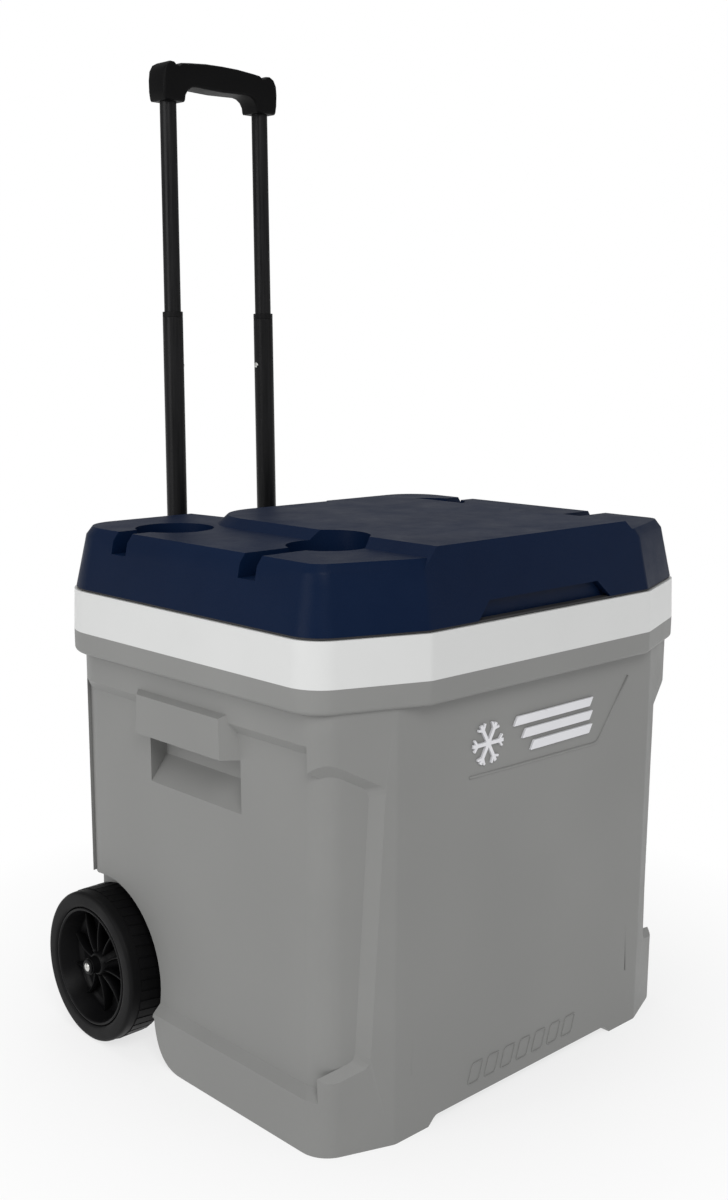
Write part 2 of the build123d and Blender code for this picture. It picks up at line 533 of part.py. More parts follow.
# ---- assembly -----------------------------------------------------------------------------------
def main():
    parts = {}
    shell, liner, foam = make_tub()
    boss, seat, spout, seal, nut, cap = cooler_drain()
    shell = shell + boss - seat
    parts.update(tub_foam=foam - boss, drain_spout=spout, drain_seal=seal, drain_nut=nut,
                 drain_cap=cap)

    lid_shell, lid_foam, lid_liner, gasket = make_lid()
    lid_hull = between(lid_outline(LID_LOW_Z), lid_outline(PAD_Z))
    edges = [side * (HINGE_X + off) for side in (-1, 1) for off in (-24, 24)]
    tub_screws = screw_group([(x, REAR_Y + 3, HINGE_Z - 24) for x in edges])
    lid_screws = screw_group([(x, REAR_Y + 2.4, HINGE_Z + 21) for x in edges])
    for x, name in ((-HINGE_X, "left"), (HINGE_X, "right")):
        tub_leaf, lid_leaf, pin = hinge_parts(x)
        parts["hinge_leaf_tub_" + name] = tub_leaf - tub_screws
        parts["hinge_leaf_lid_" + name] = lid_leaf - lid_hull - lid_screws
        parts["hinge_pin_" + name] = pin
    parts.update(lid_shell=lid_shell - lid_screws, lid_foam=lid_foam - lid_screws,
                 lid_liner=lid_liner, lid_gasket=gasket, hinge_screws_tub=tub_screws,
                 hinge_screws_lid=lid_screws)

    upper, lower = make_brackets(shell)
    bracket_screws = screw_group([(side * EAR_X, back + EAR_THICK, z) for side in (-1, 1)
                                  for back, z in ((REAR_Y, 411), (LOWER_BACK_Y, 135))])
    parts["inner_liner"] = liner - tub_screws - bracket_screws
    parts["outer_shell"] = shell - bracket_screws
    parts.update(handle_bracket_upper=upper - bracket_screws,
                 handle_bracket_lower=lower - bracket_screws, bracket_screws=bracket_screws)
    core, cover = make_grip()
    grip_screws = screw_group([(side * TUBE_X, leg_y(970) + GRIP_DEPTH / 2 - 1.5, 957, 3.0)
                               for side in (-1, 1)])
    parts.update(grip_core=core - grip_screws, grip_cover=cover, grip_screws=grip_screws)
    for side, name in ((-1, "left"), (1, "right")):
        x = side * TUBE_X
        button_y = leg_y(BUTTON_Z)
        hole = rod(x - 30, x, BUTTON_R + 0.15, button_y, BUTTON_Z) if side > 0 else \
            rod(x, x + 30, BUTTON_R + 0.15, button_y, BUTTON_Z)
        fixed = tube(x, OUTER_TUBE_R, OUTER_TUBE_BORE, OUTER_TUBE_LOW_Z, OUTER_TUBE_TOP_Z)
        mid = tube(x, MID_TUBE_R, MID_TUBE_BORE, MID_TUBE_LOW_Z, MID_TUBE_TOP_Z - 6) - hole
        inner = tube(x, INNER_TUBE_R, INNER_TUBE_BORE, INNER_TUBE_LOW_Z, INNER_TUBE_TOP_Z)
        inner = inner - hole - grip_screws
        tip = x - side * (MID_TUBE_R + 1.6)
        root = x - side * (INNER_TUBE_BORE - 3.0)
        button = rod(min(tip, root), max(tip, root), BUTTON_R, button_y, BUTTON_Z)
        button = fillet(button.edges().sort_by(Axis.X)[0 if side > 0 else -1], 1.2)
        parts["handle_tube_fixed_" + name] = fixed
        parts["fixed_tube_collar_" + name] = (
            tube(x, OUTER_TUBE_R + 1.6, MID_TUBE_R + 0.12, OUTER_TUBE_TOP_Z, OUTER_TUBE_TOP_Z + 8))
        parts["handle_tube_mid_" + name] = mid
        parts["mid_tube_collar_" + name] = (
            tube(x, MID_TUBE_R, INNER_TUBE_R + 0.12, MID_TUBE_TOP_Z - 6, MID_TUBE_TOP_Z))
        parts["handle_tube_inner_" + name] = inner
        parts["snap_button_" + name] = button

    tyre, wheel_core, bush = wheel_parts()
    axle, axle_cap, washer, clip = axle_parts()
    for piece, name in ((tyre, "tyre"), (wheel_core, "wheel_core"), (bush, "hub_bush"),
                        (axle_cap, "axle_cap"), (washer, "axle_washer"), (clip, "axle_clip")):
        parts[name + "_right"] = piece
        parts[name + "_left"] = mirrored(piece)
    parts["wheel_axle"] = axle
    parts["front_badge"] = badge() - shell

    os.makedirs("parts", exist_ok=True)
    low = parts["outer_shell"].bounding_box().min.Y
    high = max(parts[n].bounding_box().max.Y for n in ("grip_core", "handle_bracket_upper"))
    shift = -(low + high) / 2
    print("moved along Y by", shift)
    for name, part in parts.items():
        export_step(Pos(0, shift, 0) * part, f"parts/{name}.step")


main()
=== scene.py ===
from math import cos, pi, radians, sin

import bmesh
import bpy
from mathutils import Matrix, Vector


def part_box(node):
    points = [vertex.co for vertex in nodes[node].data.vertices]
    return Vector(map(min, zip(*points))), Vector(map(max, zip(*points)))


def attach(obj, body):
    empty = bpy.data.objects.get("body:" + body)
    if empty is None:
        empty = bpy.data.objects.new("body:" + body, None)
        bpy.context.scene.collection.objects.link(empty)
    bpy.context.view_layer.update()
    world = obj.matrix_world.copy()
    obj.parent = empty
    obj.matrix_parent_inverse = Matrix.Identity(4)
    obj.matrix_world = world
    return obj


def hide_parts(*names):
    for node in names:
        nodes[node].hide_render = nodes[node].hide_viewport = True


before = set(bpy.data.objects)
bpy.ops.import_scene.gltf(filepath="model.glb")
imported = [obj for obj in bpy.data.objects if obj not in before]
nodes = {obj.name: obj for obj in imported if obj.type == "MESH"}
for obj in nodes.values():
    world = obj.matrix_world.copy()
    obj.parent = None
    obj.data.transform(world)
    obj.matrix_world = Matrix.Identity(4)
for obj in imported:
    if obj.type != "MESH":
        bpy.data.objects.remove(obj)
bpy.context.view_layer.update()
MM = 0.001

# ---- sizes read from the frame ------------------------------------------------------------------
shell_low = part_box("outer_shell")[0]
axle_low, axle_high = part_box("wheel_axle")
axle_y, axle_z = (axle_low.y + axle_high.y) / 2, (axle_low.z + axle_high.z) / 2
SIDES = (("left", -1), ("right", 1))

# ---- sizes of the detailed pieces, in metres ----------------------------------------------------
RIM_FRONT = 0.220                  # the rim's front face, in front of the tub's own centre line
LUG_COUNT, LUG_SLANT, LUG_HALF_WIDTH, LUG_DEPTH = 44, 0.0030, 0.0042, 0.0012
RIB_COUNT, RIB_HALF_THICK, RIB_BOW = 10, 0.0008, 0.0042
HUB_R, BUSH_R = 0.0125, 0.0083
CAP_SKIRT_R, CAP_DOME_R = 0.0074, 0.0043
GRIP_EDGE_R = 0.0092
HEAD_HEIGHT, HEAD_STEPS = 0.0018, 32
WALL_TOP, WALL_DRAFT, WALL_INSET = 0.382, 0.02, 0.0112 + 0.0036   # the tub's front wall under the rim
BAR_COUNT, BAR_PITCH, BAR_WIDTH, BAR_HEIGHT, BAR_LEAN = 7, 0.0222, 0.0145, 0.018, 0.006


# ---- building blocks ----------------------------------------------------------------------------
def new_object(name, mesh):
    piece = bpy.data.objects.new(name, mesh)
    bpy.context.scene.collection.objects.link(piece)
    return piece


def from_bmesh(name, shape, smooth=True):
    """Turns a bmesh into an object with its normals outward."""
    bmesh.ops.remove_doubles(shape, verts=shape.verts, dist=1e-6)
    bmesh.ops.recalc_face_normals(shape, faces=shape.faces)
    mesh = bpy.data.meshes.new(name)
    shape.to_mesh(mesh)
    shape.free()
    for face in mesh.polygons:
        face.use_smooth = smooth
    return new_object(name, mesh)


def finish_mesh(piece):
    """Applies every modifier, leaving a plain mesh of the same name."""
    bpy.context.view_layer.update()
    evaluated = piece.evaluated_get(bpy.context.evaluated_depsgraph_get())
    mesh = bpy.data.meshes.new_from_object(evaluated)
    piece.modifiers.clear()
    piece.data = mesh
    mesh.name = piece.name
    return piece


def turned(name, profile, steps=96):
    """A closed ring turned about X from a closed profile of (along, radius) points."""
    shape = bmesh.new()
    rings = []
    for n in range(steps):
        angle = 2 * pi * n / steps
        rings.append([shape.verts.new((along, radius * cos(angle), radius * sin(angle)))
                      for along, radius in profile])
    count = len(profile)
    for n in range(steps):
        here, there = rings[n], rings[(n + 1) % steps]
        for k in range(count):
            shape.faces.new((here[k], here[(k + 1) % count], there[(k + 1) % count], there[k]))
    return from_bmesh(name, shape)


def rounded(points, radius, segments=4):
    """The closed outline with each corner turned into a small arc."""
    result = []
    count = len(points)
    for n, point in enumerate(points):
        here = Vector(point)
        before, after = Vector(points[n - 1]) - here, Vector(points[(n + 1) % count]) - here
        reach = min(radius, before.length * 0.45, after.length * 0.45)
        start, end = here + before.normalized() * reach, here + after.normalized() * reach
        for step in range(segments + 1):
            t = step / segments
            result.append(tuple(start * (1 - t) ** 2 + here * 2 * t * (1 - t) + end * t ** 2))
    return result


def bevel(piece, width, segments=3, angle=30):
    edge = piece.modifiers.new("edge", "BEVEL")
    edge.width, edge.segments = width, segments
    edge.limit_method, edge.angle_limit = "ANGLE", radians(angle)
    edge.miter_outer = "MITER_ARC"


def move(piece, x, y, z):
    piece.data.transform(Matrix.Translation((x, y, z)))
    return piece


def node_tree(name, inputs):
    """An empty geometry tree with a geometry input and output and the named sizes."""
    tree = bpy.data.node_groups.new(name, "GeometryNodeTree")
    tree.interface.new_socket("Geometry", in_out="INPUT", socket_type="NodeSocketGeometry")
    tree.interface.new_socket("Geometry", in_out="OUTPUT", socket_type="NodeSocketGeometry")
    for title, kind in inputs:
        tree.interface.new_socket(title, in_out="INPUT", socket_type="NodeSocket" + kind)
    return tree, tree.nodes.new("NodeGroupInput"), tree.nodes.new("NodeGroupOutput")


def repeat_tree():
    """Copies the incoming piece Count times, each one turned by Turn and moved by Shift more."""
    tree, given, result = node_tree("repeated piece", (("Count", "Int"), ("Turn", "Vector"),
                                                       ("Shift", "Vector"), ("Finish", "Material")))
    line = tree.nodes.new("GeometryNodeMeshLine")
    index = tree.nodes.new("GeometryNodeInputIndex")
    turn = tree.nodes.new("ShaderNodeVectorMath")
    turn.operation = "SCALE"
    copies = tree.nodes.new("GeometryNodeInstanceOnPoints")
    real = tree.nodes.new("GeometryNodeRealizeInstances")
    finish = tree.nodes.new("GeometryNodeSetMaterial")
    link = tree.links.new
    link(given.outputs["Count"], line.inputs["Count"])
    link(given.outputs["Shift"], line.inputs["Offset"])
    link(given.outputs["Turn"], turn.inputs[0])
    link(index.outputs[0], turn.inputs["Scale"])
    link(line.outputs[0], copies.inputs["Points"])
    link(given.outputs["Geometry"], copies.inputs["Instance"])
    link(turn.outputs[0], copies.inputs["Rotation"])
    link(copies.outputs[0], real.inputs[0])
    link(real.outputs[0], finish.inputs["Geometry"])
    link(given.outputs["Finish"], finish.inputs["Material"])
    link(finish.outputs[0], result.inputs[0])
    return tree


def smooth_tree():
    """Shades faces smooth and keeps edges sharper than Angle crisp."""
    tree, given, result = node_tree("soft shading", (("Angle", "Float"),))
    smooth = tree.nodes.new("GeometryNodeSetShadeSmooth")
    crisp = tree.nodes.new("GeometryNodeSetShadeSmooth")
    crisp.domain = "EDGE"
    crisp.inputs["Shade Smooth"].default_value = False
    angle = tree.nodes.new("GeometryNodeInputMeshEdgeAngle")
    sharp = tree.nodes.new("FunctionNodeCompare")
    sharp.operation = "GREATER_THAN"
    link = tree.links.new
    link(given.outputs["Geometry"], smooth.inputs["Geometry"])
    link(smooth.outputs[0], crisp.inputs["Geometry"])
    link(angle.outputs["Unsigned Angle"], sharp.inputs[0])
    link(given.outputs["Angle"], sharp.inputs[1])
    link(sharp.outputs[0], crisp.inputs["Selection"])
    link(crisp.outputs[0], result.inputs[0])
    return tree


REPEAT, SOFT = repeat_tree(), smooth_tree()


def set_input(modifier, title, value):
    """Sets a tree's input by its socket's identifier."""
    for item in modifier.node_group.interface.items_tree:
        if item.item_type == "SOCKET" and item.in_out == "INPUT" and item.name == title:
            modifier[item.identifier] = value


def repeated(piece, count, finish, turn=(0, 0, 0), shift=(0, 0, 0)):
    grow = piece.modifiers.new("repeat", "NODES")
    grow.node_group = REPEAT
    for title, value in (("Count", count), ("Turn", turn), ("Shift", shift), ("Finish", finish)):
        set_input(grow, title, value)
    finish_mesh(piece)
    piece.data.materials.clear()
    piece.data.materials.append(finish)
    piece.data.polygons.foreach_set("material_index", [0] * len(piece.data.polygons))
    return piece


def soften(piece, width, segments=3, angle=30, shade=35):
    """Rounds the edges of a piece and shades it softly, with live modifiers."""
    weld = piece.modifiers.new("weld", "WELD")
    weld.merge_threshold = 0.00002
    if width:
        bevel(piece, width, segments, angle)
    shading = piece.modifiers.new("shading", "NODES")
    shading.node_group = SOFT
    set_input(shading, "Angle", radians(shade))
    weights = piece.modifiers.new("weights", "WEIGHTED_NORMAL")
    weights.keep_sharp = True
    return piece


def paint(piece, material):
    if not piece.data.materials:
        piece.data.materials.append(material)
    for slot in piece.material_slots:
        slot.link = "OBJECT"
        slot.material = material
    return piece


# ---- finishes -----------------------------------------------------------------------------------
def start_finish(name):
    material = bpy.data.materials.new(name)
    material.use_nodes = True
    tree = material.node_tree
    shader = next(n for n in tree.nodes if n.type == "BSDF_PRINCIPLED")
    place = tree.nodes.new("ShaderNodeTexCoord")
    return material, tree, shader, place.outputs["Object"]


def noise(tree, place, scale, detail=3.0, rough=0.5, stretch=None):
    if stretch is not None:
        mapping = tree.nodes.new("ShaderNodeMapping")
        mapping.inputs["Scale"].default_value = stretch
        tree.links.new(place, mapping.inputs["Vector"])
        place = mapping.outputs[0]
    cloud = tree.nodes.new("ShaderNodeTexNoise")
    cloud.inputs["Scale"].default_value = scale
    cloud.inputs["Detail"].default_value = detail
    cloud.inputs["Roughness"].default_value = rough
    tree.links.new(place, cloud.inputs["Vector"])
    return cloud.outputs["Fac"]


def spread(tree, value, low, high, low_out, high_out):
    """Maps one range to another, held at its ends."""
    ranged = tree.nodes.new("ShaderNodeMapRange")
    for title, number in zip(("From Min", "From Max", "To Min", "To Max"), (low, high, low_out, high_out)):
        ranged.inputs[title].default_value = number
    tree.links.new(value, ranged.inputs["Value"])
    return ranged.outputs["Result"]


def mixed(tree, amount, first, second):
    mix = tree.nodes.new("ShaderNodeMix")
    mix.data_type = "RGBA"
    tree.links.new(amount, mix.inputs["Factor"])
    for socket, colour in ((mix.inputs[6], first), (mix.inputs[7], second)):
        if isinstance(colour, tuple):
            socket.default_value = (*colour, 1.0)
        else:
            tree.links.new(colour, socket)
    return mix.outputs[2]


def bumped(tree, shader, heights):
    """Stacks bump maps, each given as a height, a strength and a depth in metres."""
    below = None
    for height, strength, depth in heights:
        bump = tree.nodes.new("ShaderNodeBump")
        bump.inputs["Strength"].default_value = strength
        bump.inputs["Distance"].default_value = depth
        tree.links.new(height, bump.inputs["Height"])
        if below is not None:
            tree.links.new(below, bump.inputs["Normal"])
        below = bump.outputs[0]
    tree.links.new(below, shader.inputs["Normal"])


def moulded(name, colour, pale, rough=(0.42, 0.58), grain=0.35, grain_size=1400, scuffs=0.0, gloss=0.5):
    """Moulded plastic: cloudy colour, a fine spark-eroded grain, and a few pale rub marks."""
    material, tree, shader, place = start_finish(name)
    cloud = noise(tree, place, 6.0, 4.0, 0.6)
    tint = mixed(tree, spread(tree, cloud, 0.3, 0.7, 0.0, 1.0), colour, pale)
    rub = noise(tree, place, 55.0, 6.0, 0.7, stretch=(1.0, 1.0, 0.28))
    rub = spread(tree, rub, 0.66, 0.78, 0.0, scuffs)
    worn = tuple(min(1.0, c * 1.5 + 0.03) for c in pale)
    tree.links.new(mixed(tree, rub, tint, worn), shader.inputs["Base Color"])
    fine = noise(tree, place, grain_size, 2.0, 0.6)
    sheen = noise(tree, place, 24.0, 5.0, 0.65)
    tree.links.new(spread(tree, sheen, 0.3, 0.7, *rough), shader.inputs["Roughness"])
    shader.inputs["Specular IOR Level"].default_value = gloss
    wavy = noise(tree, place, 9.0, 2.0, 0.5)
    bumped(tree, shader, ((wavy, 0.10, 0.002), (fine, grain, 0.00018)))
    return material


def metal(name, colour, rough=(0.22, 0.38), brushed=(1.0, 1.0, 1.0), metallic=1.0, gloss=0.5):
    material, tree, shader, place = start_finish(name)
    lines = noise(tree, place, 320.0, 3.0, 0.6, stretch=brushed)
    pale = tuple(min(1.0, c * 1.25 + 0.004) for c in colour)
    streaks = spread(tree, lines, 0.35, 0.65, 0.0, 1.0)
    tree.links.new(mixed(tree, streaks, colour, pale), shader.inputs["Base Color"])
    shader.inputs["Metallic"].default_value = metallic
    shader.inputs["Specular IOR Level"].default_value = gloss
    tree.links.new(spread(tree, lines, 0.3, 0.7, *rough), shader.inputs["Roughness"])
    bumped(tree, shader, ((lines, 0.12, 0.00008),))
    return material


def foam_finish():
    """Cut insulating foam: pale yellow with open cells."""
    material, tree, shader, place = start_finish("insulating foam")
    cells = tree.nodes.new("ShaderNodeTexVoronoi")
    cells.inputs["Scale"].default_value = 420.0
    tree.links.new(place, cells.inputs["Vector"])
    tree.links.new(mixed(tree, cells.outputs["Distance"], (0.62, 0.53, 0.28), (0.80, 0.73, 0.48)),
                   shader.inputs["Base Color"])
    shader.inputs["Roughness"].default_value = 0.9
    bumped(tree, shader, ((cells.outputs["Distance"], 0.6, 0.0008),))
    return material


GREY = moulded("grey shell plastic", (0.196, 0.197, 0.192), (0.216, 0.217, 0.211), rough=(0.44, 0.56),
               scuffs=0.06, gloss=0.35)
WHITE = moulded("white liner plastic", (0.57, 0.575, 0.57), (0.60, 0.605, 0.60), rough=(0.28, 0.38),
                grain=0.12, gloss=0.35)
NAVY = moulded("navy lid plastic", (0.0016, 0.0072, 0.026), (0.0024, 0.0095, 0.032), rough=(0.36, 0.48),
               grain=0.85, grain_size=900, scuffs=0.008, gloss=0.07)
BLACK = moulded("black moulded plastic", (0.0025, 0.0025, 0.0028), (0.0042, 0.0042, 0.0046),
               rough=(0.34, 0.48), scuffs=0.03, gloss=0.12)
TYRE = moulded("hard tyre plastic", (0.0028, 0.0028, 0.0030), (0.0050, 0.0050, 0.0054), rough=(0.40, 0.58),
               grain=0.5, grain_size=900, scuffs=0.05, gloss=0.10)
SOFT_GRIP = moulded("soft grip rubber", (0.0018, 0.0018, 0.0020), (0.0030, 0.0030, 0.0033),
                    rough=(0.42, 0.56), grain=0.5, grain_size=1700, gloss=0.08)
SEAL = moulded("seal rubber", (0.020, 0.020, 0.022), (0.030, 0.030, 0.032), rough=(0.6, 0.75), grain=0.4)
SILVER = moulded("silver badge plastic", (0.62, 0.62, 0.645), (0.69, 0.69, 0.715), rough=(0.26, 0.36),
                grain=0.15)
TUBE_BLACK = metal("black anodised tube", (0.0040, 0.0040, 0.0045), rough=(0.28, 0.40), brushed=(1, 1, 0.04),
                   metallic=0.0, gloss=0.14)
STEEL = metal("bright zinc steel", (0.52, 0.52, 0.50), rough=(0.22, 0.40), brushed=(0.2, 1, 1))
FOAM = foam_finish()

NODE_FINISH = {
    "outer_shell": GREY, "inner_liner": WHITE, "lid_shell": NAVY, "lid_liner": WHITE, "tub_foam": FOAM,
    "lid_foam": FOAM, "lid_gasket": SEAL, "drain_seal": SEAL, "drain_spout": WHITE, "drain_nut": WHITE,
    "drain_cap": WHITE, "front_badge": SILVER, "wheel_axle": STEEL, "grip_cover": SOFT_GRIP,
    "grip_core": BLACK,
    "bracket_screws": STEEL, "hinge_screws_tub": STEEL, "hinge_screws_lid": STEEL, "grip_screws": STEEL,
    "handle_bracket_upper": BLACK, "handle_bracket_lower": BLACK,
}
PAIR_FINISH = {
    "handle_tube_fixed": TUBE_BLACK, "handle_tube_mid": TUBE_BLACK, "handle_tube_inner": TUBE_BLACK,
    "snap_button": STEEL, "axle_cap": STEEL, "hinge_pin": STEEL, "tyre": TYRE, "wheel_core": BLACK,
    "hub_bush": BLACK, "axle_washer": BLACK, "axle_clip": BLACK, "fixed_tube_collar": BLACK,
    "mid_tube_collar": BLACK, "hinge_leaf_tub": BLACK, "hinge_leaf_lid": BLACK,
}
EDGE_WIDTH = {"outer_shell": 4.5, "inner_liner": 1.6, "lid_shell": 5.0, "lid_liner": 1.5, "front_badge": 0.5,
              "handle_bracket_upper": 1.5, "handle_bracket_lower": 1.5, "drain_cap": 0.6, "drain_spout": 0.5,
              "drain_nut": 0.8}


def finish_cad_nodes():
    """Gives every carried-over piece its finish, softened edges and soft shading."""
    for name, piece in nodes.items():
        stem = name.rsplit("_", 1)[0]
        paint(piece, NODE_FINISH.get(name) or PAIR_FINISH[stem])
        soften(piece, EDGE_WIDTH.get(name, 0.4) * MM, segments=3)


# ---- studio -------------------------------------------------------------------------------------
def camera():
    """Eye-level three-quarter view from the front left, with a shifted lens."""
    heading, down, roll = 46.33, 4.9, 0.234
    eye = Vector((-1.0112, -1.0359 + eye_shift(), 0.681))
    data = bpy.data.cameras.new("camera")
    data.sensor_width, data.lens, data.shift_y = 36.0, 43.52, -0.1087
    data.clip_end = 100.0
    piece = bpy.data.objects.new("camera", data)
    turn = (Matrix.Rotation(radians(heading - 90), 4, "Z") @ Matrix.Rotation(radians(90 - down), 4, "X")
            @ Matrix.Rotation(radians(roll), 4, "Z"))
    piece.matrix_world = Matrix.Translation(eye) @ turn
    bpy.context.scene.collection.objects.link(piece)
    bpy.context.scene.camera = piece


def eye_shift():
    """How far the frame's origin lies from the tub's own centre line, along Y."""
    return shell_low.y + RIM_FRONT


def area_light(name, place, target, size, power):
    data = bpy.data.lights.new(name, "AREA")
    data.shape, data.size, data.energy = "DISK", size, power
    piece = bpy.data.objects.new(name, data)
    piece.location = place
    aim = Vector(target) - Vector(place)
    piece.rotation_euler = aim.to_track_quat("-Z", "Y").to_euler()
    bpy.context.scene.collection.objects.link(piece)


def studio():
    scene = bpy.context.scene
    scene.view_settings.view_transform = "Standard"
    world = bpy.data.worlds.new("studio")
    world.use_nodes = True
    tree = world.node_tree
    sky = next(n for n in tree.nodes if n.type == "BACKGROUND")
    sky.inputs["Color"].default_value = (1, 1, 1, 1)
    sky.inputs["Strength"].default_value = 0.36
    seen = tree.nodes.new("ShaderNodeBackground")
    seen.inputs["Color"].default_value = (1, 1, 1, 1)
    path = tree.nodes.new("ShaderNodeLightPath")
    mix = tree.nodes.new("ShaderNodeMixShader")
    out = next(n for n in tree.nodes if n.type == "OUTPUT_WORLD")
    tree.links.new(path.outputs["Is Camera Ray"], mix.inputs[0])
    tree.links.new(sky.outputs[0], mix.inputs[1])
    tree.links.new(seen.outputs[0], mix.inputs[2])
    tree.links.new(mix.outputs[0], out.inputs["Surface"])
    scene.world = world
    area_light("key", (-1.6, -2.4, 2.6), (0, 0, 0.3), 1.8, 55)
    area_light("left fill", (-3.2, 0.2, 1.4), (0, 0, 0.3), 2.0, 36)
    area_light("front fill", (1.2, -3.0, 1.0), (0, 0, 0.3), 2.0, 5)
    area_light("top", (0.2, 0.6, 3.2), (0, 0, 0.4), 2.4, 26)


def floor():
    """A pale floor that fades out into the white studio."""
    shape = bmesh.new()
    bmesh.ops.create_circle(shape, cap_ends=True, radius=14.0, segments=64)
    piece = from_bmesh("studio_floor", shape)
    if piece.data.polygons[0].normal.z < 0:
        piece.data.flip_normals()
    material, tree, shader, place = start_finish("pale floor")
    shader.inputs["Base Color"].default_value = (0.86, 0.86, 0.86, 1)
    shader.inputs["Roughness"].default_value = 0.85
    glow = tree.nodes.new("ShaderNodeEmission")
    fade = tree.nodes.new("ShaderNodeMixShader")
    distance = tree.nodes.new("ShaderNodeVectorMath")
    distance.operation = "LENGTH"
    tree.links.new(place, distance.inputs[0])
    tree.links.new(spread(tree, distance.outputs["Value"], 0.26, 0.62, 0.72, 1.0), fade.inputs[0])
    tree.links.new(shader.outputs[0], fade.inputs[1])
    tree.links.new(glow.outputs[0], fade.inputs[2])
    out = next(n for n in tree.nodes if n.type == "OUTPUT_MATERIAL")
    tree.links.new(fade.outputs[0], out.inputs["Surface"])
    piece.data.materials.append(material)


# ---- wheels -------------------------------------------------------------------------------------
def outward(piece, side):
    """Turns a piece made for the right side into the left one when side is -1."""
    if side < 0:
        piece.data.transform(Matrix.Scale(-1, 4, (1, 0, 0)))
        piece.data.flip_normals()
    return piece


def tread_lug(half_width, radius):
    """One shallow slanted lug of the tread, lying on the tyre at the top of the wheel."""
    shape = bmesh.new()
    wide, low, top = LUG_HALF_WIDTH, radius - LUG_DEPTH, radius - 0.0001
    rows = []
    for along in (-half_width + 0.005, -half_width * 0.3, half_width * 0.1, half_width * 0.45):
        offset = LUG_SLANT * along / half_width
        rows.append([(along, offset - wide - 0.0005, low), (along, offset - wide, top),
                     (along, offset + wide, top), (along, offset + wide + 0.0005, low)])
    grid = [[shape.verts.new(point) for point in row] for row in rows]
    for here, there in zip(grid, grid[1:]):
        for k in range(4):
            shape.faces.new((here[k], here[(k + 1) % 4], there[(k + 1) % 4], there[k]))
    shape.faces.new(grid[0])
    shape.faces.new(grid[-1])
    return from_bmesh("tread_lug", shape, smooth=False)


def wheel_rib(hub, rim, low):
    """One thin rib from the hub to the rim, bowed sideways and lower at the rim."""
    shape = bmesh.new()
    steps, thick = 10, RIB_HALF_THICK
    rings = []
    for n in range(steps + 1):
        t = n / steps
        radius = hub + (rim - hub) * t
        bow = RIB_BOW * sin(pi * t)
        top = 0.0105 - 0.006 * t
        section = ((low, -1.5), (top - 0.0006, -1), (top, -0.5), (top, 0.5), (top - 0.0006, 1), (low, 1.5))
        rings.append([shape.verts.new((along, bow + thick * share, radius)) for along, share in section])
    for here, there in zip(rings, rings[1:]):
        for k in range(6):
            shape.faces.new((here[k], here[(k + 1) % 6], there[(k + 1) % 6], there[k]))
    shape.faces.new(rings[0])
    shape.faces.new(rings[-1])
    return from_bmesh("wheel_rib", shape)


def join(name, pieces):
    """Joins pieces into one mesh object, keeping each one's finish."""
    shape = bmesh.new()
    materials = []
    for piece in pieces:
        start = len(shape.faces)
        shape.from_mesh(piece.data)
        shape.faces.ensure_lookup_table()
        material = piece.data.materials[0]
        if material not in materials:
            materials.append(material)
        for face in shape.faces[start:]:
            face.material_index = materials.index(material)
        bpy.data.objects.remove(piece)
    mesh = bpy.data.meshes.new(name)
    shape.to_mesh(mesh)
    shape.free()
    for material in materials:
        mesh.materials.append(material)
    return new_object(name, mesh)


def wheel(name, side):
    """The tyre with its tread, and the dished wheel with ten bowed ribs."""
    tyre_low, tyre_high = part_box("tyre_" + name)
    h, radius = (tyre_high.x - tyre_low.x) / 2, (tyre_high.z - tyre_low.z) / 2
    middle = (tyre_high.x + tyre_low.x) / 2
    core_low, core_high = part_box("wheel_core_" + name)
    rim = (core_high.z - core_low.z) / 2
    outline = rounded([(-h, rim), (-h, radius - 0.0007), (h, radius - 0.0007), (h, rim)], 0.0042, 5)
    tyre = turned("tyre", outline, 120)
    paint(tyre, TYRE)
    lugs = repeated(tread_lug(h, radius), LUG_COUNT, TYRE, turn=(2 * pi / LUG_COUNT, 0, 0))
    tyre = outward(join("tyre_and_tread_" + name, [tyre, lugs]), side)
    lip = [(h - 0.0012, rim - 0.0001), (h - 0.0004, rim - 0.0016), (h - 0.0012, rim - 0.003)]
    dish = [(0.0, rim - 0.0075), (-0.003, rim - 0.011), (-0.0035, 0.017)]
    hub = [(0.006, HUB_R), (0.0125, 0.0105), (0.0135, BUSH_R), (-h + 0.001, BUSH_R), (-h + 0.001, 0.013)]
    back = [(-0.009, 0.015), (-0.009, rim - 0.007), (-h + 0.001, rim - 0.004), (-h + 0.001, rim - 0.0001)]
    core = turned("core", rounded(lip + dish + hub + back, 0.0012, 2))
    paint(core, BLACK)
    ribs = repeated(wheel_rib(0.0105, rim - 0.004, -0.005), RIB_COUNT, BLACK, turn=(2 * pi / RIB_COUNT, 0, 0))
    core = outward(join("ribbed_wheel_" + name, [core, ribs]), side)
    for piece, node in ((tyre, "tyre_"), (core, "wheel_core_")):
        move(piece, middle, axle_y, axle_z)
        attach(piece, "wheel_" + name)
        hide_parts(node + name)


def axle_end(name, side):
    """The push-on cap on the axle's end: a black skirt round a small bright dome."""
    low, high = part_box("axle_cap_" + name)
    thick, x = high.x - low.x, (low.x if side > 0 else high.x)
    ring = [(0, 0.0042), (0, CAP_SKIRT_R), (thick * 0.5, 0.0068), (thick * 0.62, 0.0042)]
    skirt = turned("skirt", rounded(ring, 0.0006, 3), 48)
    dome = turned("dome", [(thick * 0.3, 0.00005), (thick * 0.3, CAP_DOME_R), (thick * 0.62, 0.0041),
                           (thick * 0.82, 0.0032), (thick * 0.94, 0.0018), (thick * 0.98, 0.00005)], 48)
    paint(skirt, BLACK)
    paint(dome, STEEL)
    cap = outward(join("axle_end_cap_" + name, [skirt, dome]), side)
    move(cap, x, axle_y, axle_z)
    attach(cap, "root")
    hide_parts("axle_cap_" + name)


